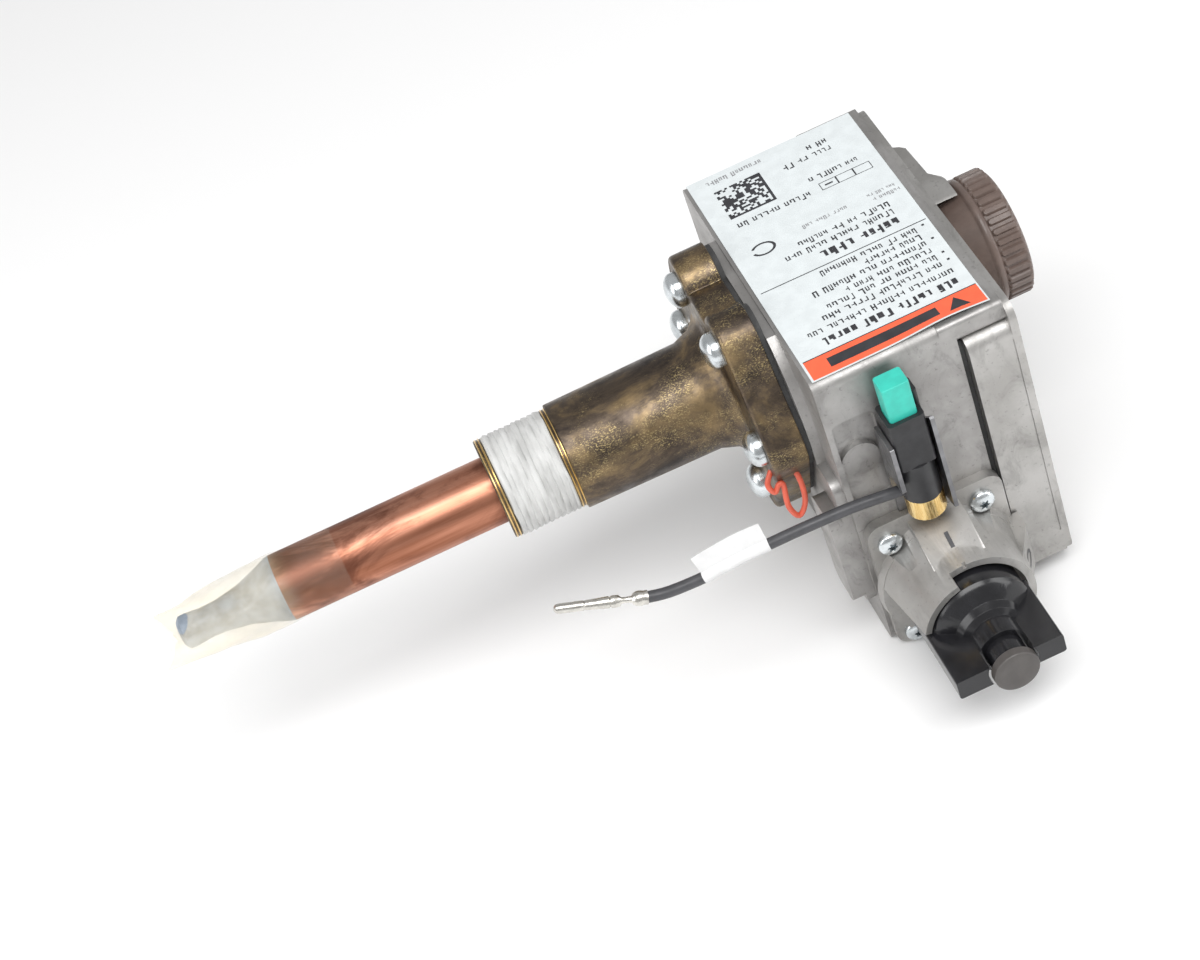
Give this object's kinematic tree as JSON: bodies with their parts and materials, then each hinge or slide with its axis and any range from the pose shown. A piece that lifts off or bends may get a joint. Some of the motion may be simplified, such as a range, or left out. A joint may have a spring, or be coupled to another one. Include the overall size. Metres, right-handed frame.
{
  "type": "gas control valve",
  "caption": "Water-heater gas control valve with immersion shank, copper sensor tube, temperature dial, gas knob with reset button, and piezo igniter on a lead.",
  "frame": {"origin": "inner end of the tank thread, on the shank's axis", "axes": "+X along the shank towards the temperature dial, -Y out of the gas knob's face, +Z out of the labelled face"},
  "size_m": [0.2422, 0.1468, 0.0979],
  "materials": {
    "cast_aluminium": "satin die-cast",
    "cover_casting": "satin die-cast",
    "brass_oxidised": "dark oxidised",
    "brass_bright": "machined",
    "copper": "drawn copper tube",
    "zinc_steel": "zinc plated",
    "spring_steel": "bright",
    "bracket_steel": "rolled sheet",
    "valve_aluminium": "turned",
    "nickel": "tinned",
    "gasket_black": "matt",
    "tip_coating": "semi-matt",
    "tape_white": "wound tape",
    "label_white": "printed film",
    "tag_white": "printed film",
    "film_clear": "clear film",
    "dial_brown": "moulded",
    "knob_black": "moulded gloss",
    "button_grey": "moulded",
    "igniter_black": "moulded",
    "teal": "moulded",
    "lead_grey": "silicone sheath",
    "wire_orange": "insulated wire",
    "ceramic": "ceramic"
  },
  "bodies": {
    "housing": {"valve_body": "cast_aluminium", "cover_gasket": "gasket_black", "front_cover": "cover_casting", "cover_screws": "zinc_steel", "label": "label_white", "shank_gasket": "gasket_black", "shank": "brass_oxidised", "flange_screws": "zinc_steel", "thread_tape": "tape_white", "sensor_tube": "copper", "sensor_tip": "tip_coating", "protective_film": "film_clear", "cutoff_fuse": "ceramic", "cutoff_wires": "wire_orange", "screw_bushing": "brass_bright", "main_spring": "spring_steel", "main_seat": "brass_bright", "regulator_seat": "brass_bright", "regulator_diaphragm": "gasket_black", "regulator_ring": "valve_aluminium", "regulator_spring": "spring_steel", "regulator_cap": "valve_aluminium", "inlet_screen": "spring_steel", "knob_shroud": "cover_casting", "shroud_screws": "zinc_steel", "safety_spring": "spring_steel", "safety_magnet": "brass_bright", "igniter_body": "igniter_black", "igniter_spring": "spring_steel", "igniter_crystal": "ceramic", "igniter_collar": "brass_bright", "igniter_bracket": "bracket_steel", "ignition_lead": "lead_grey", "lead_tag": "tag_white", "lead_terminal": "nickel"},
    "dial": {"temperature_dial": "dial_brown"},
    "adjuster": {"adjusting_screw": "brass_bright"},
    "lever": {"thermostat_lever": "spring_steel"},
    "rod": {"sensor_rod": "spring_steel"},
    "poppet": {"main_valve": "valve_aluminium", "valve_pad": "gasket_black", "snap_disc": "spring_steel"},
    "regulator": {"regulator_valve": "valve_aluminium"},
    "knob": {"gas_knob": "knob_black", "cock_plug": "brass_bright", "plug_spring": "spring_steel", "button_spring": "spring_steel"},
    "reset": {"pilot_button": "button_grey"},
    "safety": {"safety_valve": "valve_aluminium", "safety_pad": "gasket_black", "safety_armature": "spring_steel"},
    "igniter_push": {"igniter_button": "teal"},
    "hammer": {"igniter_hammer": "spring_steel"}
  },
  "joints": [
    {"name": "dial_turn", "type": "hinge", "parent": "housing", "child": "dial", "pos_m": [0.115, 0.009, 0], "axis": [1, 0, 0], "range_deg": [0, 270]},
    {"name": "screw_feed", "type": "slide", "parent": "dial", "child": "adjuster", "axis": [1, 0, 0], "range_m": [0, 0.00075]},
    {"name": "lever_tilt", "type": "hinge", "parent": "housing", "child": "lever", "pos_m": [0.101, 0.009, 0], "axis": [0, 0, 1], "range_deg": [0, 6.2]},
    {"name": "rod_slide", "type": "slide", "parent": "housing", "child": "rod", "axis": [1, 0, 0], "range_m": [0, 0.00096]},
    {"name": "poppet_lift", "type": "slide", "parent": "housing", "child": "poppet", "axis": [-1, 0, 0], "range_m": [0, 0.0018], "stiffness_N_per_m": 300, "springref_m": -0.001, "deforming": ["main_spring"]},
    {"name": "regulator_lift", "type": "slide", "parent": "housing", "child": "regulator", "axis": [-1, 0, 0], "range_m": [0, 0.0012], "stiffness_N_per_m": 300, "deforming": ["regulator_spring", "regulator_diaphragm"]},
    {"name": "knob_turn", "type": "hinge", "parent": "housing", "child": "knob", "pos_m": [0.0765, -0.06, -0.0455], "axis": [0, -1, 0], "range_deg": [0, 90]},
    {"name": "reset_press", "type": "slide", "parent": "knob", "child": "reset", "axis": [0, 1, 0], "range_m": [0, 0.005], "stiffness_N_per_m": 900, "springref_m": -0.001, "deforming": ["button_spring"]},
    {"name": "safety_open", "type": "slide", "parent": "housing", "child": "safety", "axis": [0, 1, 0], "range_m": [0, 0.005], "deforming": ["safety_spring"]},
    {"name": "igniter_press", "type": "slide", "parent": "housing", "child": "igniter_push", "axis": [0, 0, -1], "range_m": [0, 0.004], "stiffness_N_per_m": 800, "springref_m": -0.001, "deforming": ["igniter_spring"]},
    {"name": "hammer_strike", "type": "slide", "parent": "housing", "child": "hammer", "axis": [0, 0, -1], "range_m": [0, 0.0025], "stiffness_N_per_m": 400, "springref_m": -0.0005}
  ],
  "couplings": [
    {"joint": "dial_turn", "follows": "screw_feed", "rad_per_m": 6280},
    {"joint": "rod_slide", "follows": "poppet_lift", "ratio": 0.5294},
    {"joint": "lever_tilt", "follows": "poppet_lift", "rad_per_m": 58.82},
    {"joint": "safety_open", "follows": "reset_press", "ratio": 1}
  ]
}
